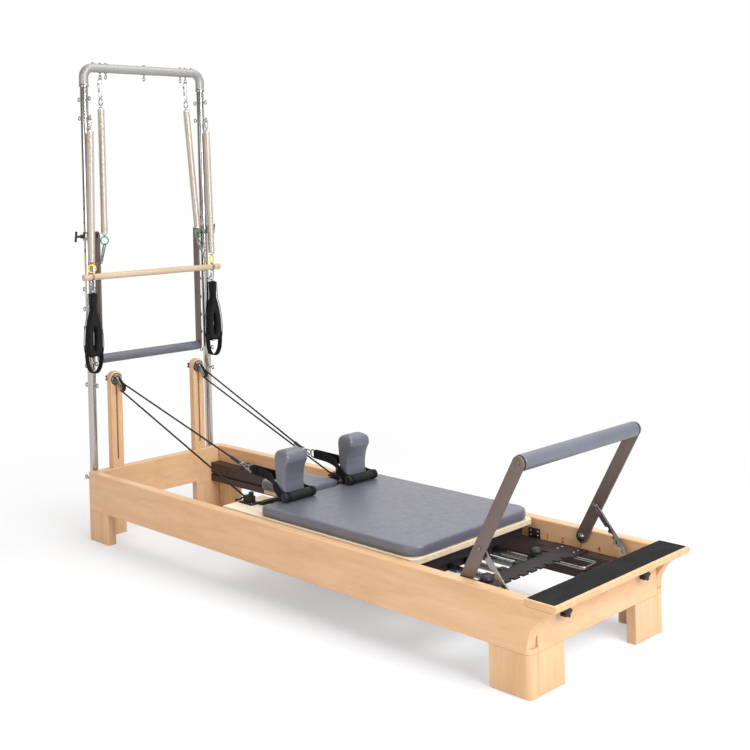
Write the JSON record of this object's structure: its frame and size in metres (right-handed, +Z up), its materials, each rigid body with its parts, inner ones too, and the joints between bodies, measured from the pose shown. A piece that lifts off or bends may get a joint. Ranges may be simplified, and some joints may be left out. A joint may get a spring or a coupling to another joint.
{
  "type": "pilates tower unit",
  "caption": "Wooden reformer bed with a sliding padded carriage, folding foot bar, rope straps and a steel tube tower with springs and bars.",
  "frame": {"origin": "middle of the footprint, on the floor", "axes": "+X from the head end (tower) to the foot end (standing platform), +Y to the far side, +Z up"},
  "size_m": [2.596, 0.7098, 2.0145],
  "materials": {
    "rail_wood": "satin clear lacquer",
    "pale_ply": "satin clear lacquer",
    "black_plastic": "moulded",
    "dark_bronze": "satin",
    "arm_bronze": "satin",
    "satin_steel": "satin",
    "spring_steel": "drawn wire",
    "grey_vinyl": "fine grained vinyl",
    "black_webbing": "woven",
    "black_rope": "braided"
  },
  "bodies": {
    "bed": {"near_side_rail": "rail_wood", "far_side_rail": "rail_wood", "head_end_board": "rail_wood", "foot_end_board": "rail_wood", "standing_platform": "rail_wood", "near_track": "dark_bronze", "far_track": "dark_bronze", "near_bumper": "black_plastic", "far_bumper": "black_plastic", "near_prop_pin": "satin_steel", "far_prop_pin": "satin_steel", "near_riser": "rail_wood", "far_riser": "rail_wood", "near_post": "satin_steel", "far_post": "satin_steel", "tower_top_tube": "satin_steel", "near_inner_spring": "spring_steel", "far_inner_spring": "spring_steel"},
    "near_platform_knob": {"near_platform_knob": "black_plastic"},
    "far_platform_knob": {"far_platform_knob": "black_plastic"},
    "spring_bar": {"spring_bar": "dark_bronze", "carriage_spring_1": "spring_steel", "carriage_spring_2": "spring_steel", "carriage_spring_3": "spring_steel", "carriage_spring_4": "spring_steel", "carriage_spring_5": "spring_steel"},
    "carriage": {"carriage_board": "pale_ply", "carriage_frame": "dark_bronze", "carriage_pad": "grey_vinyl", "near_shoulder_rest": "grey_vinyl", "far_shoulder_rest": "grey_vinyl", "near_rest_bracket": "black_plastic", "far_rest_bracket": "black_plastic", "near_strap_loop": "black_webbing", "far_strap_loop": "black_webbing", "near_rope": "black_rope", "far_rope": "black_rope"},
    "rear_wheels": {"rear_wheel_set": "black_plastic"},
    "front_wheels": {"front_wheel_set": "black_plastic"},
    "headrest": {"headrest_board": "pale_ply", "headrest_pad": "grey_vinyl"},
    "footbar": {"footbar_frame": "arm_bronze", "footbar_roller": "grey_vinyl"},
    "near_prop": {"near_footbar_prop": "satin_steel"},
    "far_prop": {"far_footbar_prop": "satin_steel"},
    "push_bar_collars": {"near_collar": "black_plastic", "far_collar": "black_plastic"},
    "push_bar": {"push_bar_frame": "arm_bronze", "push_bar_pad": "grey_vinyl"},
    "outer_springs": {"near_outer_spring": "spring_steel", "far_outer_spring": "spring_steel"},
    "roll_bar": {"roll_down_bar": "rail_wood", "near_foot_loop": "black_webbing", "far_foot_loop": "black_webbing"},
    "near_riser_knob": {"near_riser_knob": "black_plastic"},
    "far_riser_knob": {"far_riser_knob": "black_plastic"},
    "near_swivel": {"near_pulley_swivel": "satin_steel"},
    "far_swivel": {"far_pulley_swivel": "satin_steel"},
    "near_pulley": {"near_pulley": "black_plastic"},
    "far_pulley": {"far_pulley": "black_plastic"}
  },
  "joints": [
    {"name": "carriage_slide", "type": "slide", "parent": "bed", "child": "carriage", "axis": [1, 0, 0], "range_m": [-0.7, 0], "stiffness_N_per_m": 300, "springref_m": 0.04, "deforming": ["carriage_spring_1", "carriage_spring_2", "carriage_spring_3", "carriage_spring_4", "carriage_spring_5", "near_rope", "far_rope"]},
    {"name": "rear_wheel_spin", "type": "hinge", "parent": "carriage", "child": "rear_wheels", "pos_m": [0.00796, 0, 0.2363], "axis": [0, 1, 0], "range_deg": [-1800, 0]},
    {"name": "front_wheel_spin", "type": "hinge", "parent": "carriage", "child": "front_wheels", "pos_m": [0.61796, 0, 0.2363], "axis": [0, 1, 0], "range_deg": [-1800, 0]},
    {"name": "headrest_tilt", "type": "hinge", "parent": "carriage", "child": "headrest", "pos_m": [-0.11404, 0, 0.275], "axis": [0, 1, 0], "range_deg": [0, 15]},
    {"name": "spring_bar_slide", "type": "slide", "parent": "bed", "child": "spring_bar", "axis": [1, 0, 0], "range_m": [-0.066, 0.072], "deforming": ["carriage_spring_1", "carriage_spring_2", "carriage_spring_3", "carriage_spring_4", "carriage_spring_5"]},
    {"name": "footbar_fold", "type": "hinge", "parent": "bed", "child": "footbar", "pos_m": [0.90996, 0, 0.259], "axis": [0, 1, 0], "range_deg": [0, 43]},
    {"name": "near_prop_swing", "type": "hinge", "parent": "footbar", "child": "near_prop", "pos_m": [0.97646, -0.2835, 0.37418], "axis": [0, 1, 0], "range_deg": [-145, 0]},
    {"name": "far_prop_swing", "type": "hinge", "parent": "footbar", "child": "far_prop", "pos_m": [0.97646, 0.2835, 0.37418], "axis": [0, 1, 0], "range_deg": [-145, 0]},
    {"name": "push_bar_height", "type": "slide", "parent": "bed", "child": "push_bar_collars", "axis": [0, 0, 1], "range_m": [-0.02, 0.3]},
    {"name": "push_bar_swing", "type": "hinge", "parent": "push_bar_collars", "child": "push_bar", "pos_m": [-1.22304, 0, 1.272], "axis": [0, 1, 0], "range_deg": [0, 110]},
    {"name": "roll_bar_swing", "type": "hinge", "parent": "bed", "child": "outer_springs", "pos_m": [-1.18004, 0, 1.7644], "axis": [0, 1, 0], "range_deg": [-25, 0]},
    {"name": "roll_bar_pull", "type": "slide", "parent": "outer_springs", "child": "roll_bar", "axis": [0.6, 0, -0.8], "range_m": [0, 0.25], "stiffness_N_per_m": 250, "springref_m": -0.08, "deforming": ["near_outer_spring", "far_outer_spring"]},
    {"name": "near_riser_knob_turn", "type": "hinge", "parent": "bed", "child": "near_riser_knob", "pos_m": [-1.22204, -0.208, 0.657], "axis": [1, 0, 0], "continuous": true},
    {"name": "near_pulley_swivel_turn", "type": "hinge", "parent": "bed", "child": "near_swivel", "pos_m": [-1.16904, -0.208, 0.657], "axis": [1, 0, 0], "range_deg": [-20, 20], "deforming": ["near_rope"]},
    {"name": "near_pulley_spin", "type": "hinge", "parent": "near_swivel", "child": "near_pulley", "pos_m": [-1.12404, -0.208, 0.627], "axis": [0, 1, 0], "continuous": true},
    {"name": "near_platform_knob_turn", "type": "hinge", "parent": "bed", "child": "near_platform_knob", "pos_m": [1.20796, -0.2, 0.221], "axis": [1, 0, 0], "continuous": true},
    {"name": "far_riser_knob_turn", "type": "hinge", "parent": "bed", "child": "far_riser_knob", "pos_m": [-1.22204, 0.208, 0.657], "axis": [1, 0, 0], "continuous": true},
    {"name": "far_pulley_swivel_turn", "type": "hinge", "parent": "bed", "child": "far_swivel", "pos_m": [-1.16904, 0.208, 0.657], "axis": [1, 0, 0], "range_deg": [-20, 20], "deforming": ["far_rope"]},
    {"name": "far_pulley_spin", "type": "hinge", "parent": "far_swivel", "child": "far_pulley", "pos_m": [-1.12404, 0.208, 0.627], "axis": [0, 1, 0], "continuous": true},
    {"name": "far_platform_knob_turn", "type": "hinge", "parent": "bed", "child": "far_platform_knob", "pos_m": [1.20796, 0.2, 0.221], "axis": [1, 0, 0], "continuous": true}
  ],
  "couplings": [
    {"joint": "rear_wheel_spin", "follows": "carriage_slide", "rad_per_m": 43.478},
    {"joint": "front_wheel_spin", "follows": "carriage_slide", "rad_per_m": 43.478},
    {"joint": "near_prop_swing", "follows": "footbar_fold", "ratio": -3.3},
    {"joint": "far_prop_swing", "follows": "footbar_fold", "ratio": -3.3}
  ]
}
